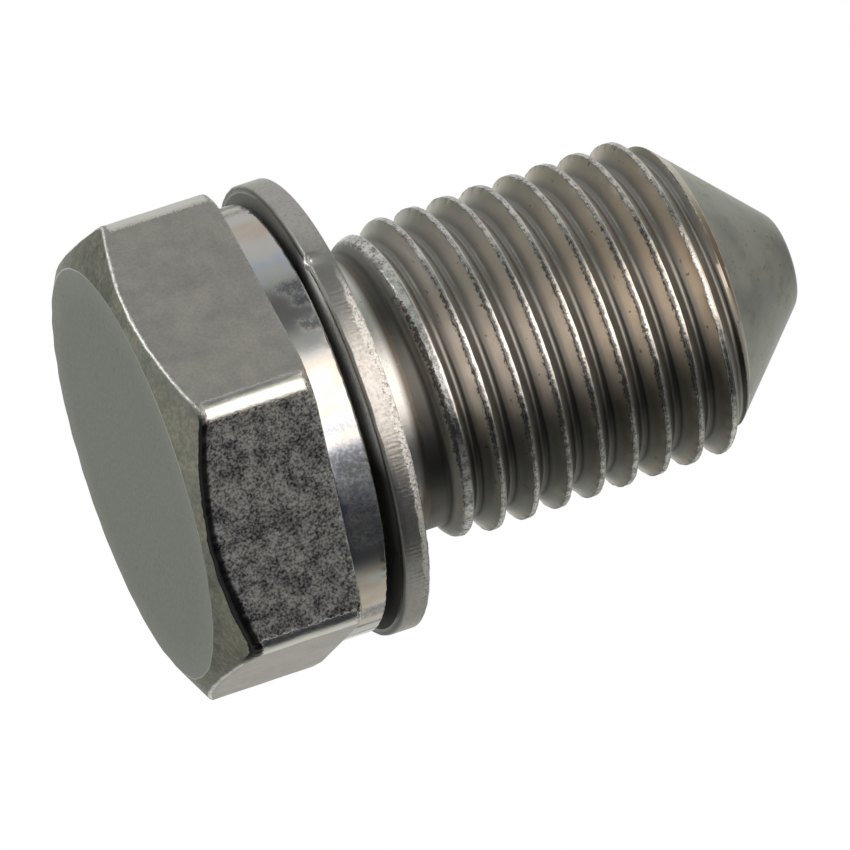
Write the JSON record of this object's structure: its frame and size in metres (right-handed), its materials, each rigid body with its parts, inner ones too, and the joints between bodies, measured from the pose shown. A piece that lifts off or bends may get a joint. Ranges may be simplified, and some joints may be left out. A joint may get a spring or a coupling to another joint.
{
  "type": "oil drain plug",
  "caption": "Hexagon-head drain plug with collar, captive loose sealing washer, fine metric thread and rounded pilot cone.",
  "frame": {"origin": "centre of the flat crown face of the hexagon head, which the plug stands on", "axes": "+Z along the plug's axis from the head to the tip, +X through a corner of the hexagon"},
  "size_m": [0.0218, 0.0198, 0.0296],
  "materials": {
    "zinc_plated_steel": "zinc-plated steel, matte forged hexagon, bright turned collar and rolled thread",
    "washer_steel": "zinc-plated stamped steel with a sheared and torn rim"
  },
  "bodies": {
    "plug": {"drain_plug_body": "zinc_plated_steel"},
    "washer": {"sealing_washer": "washer_steel"}
  },
  "joints": [
    {"name": "washer_spin", "type": "hinge", "parent": "plug", "child": "washer", "pos_m": [0, 0, 0.00865], "axis": [0, 0, 1], "continuous": true}
  ]
}
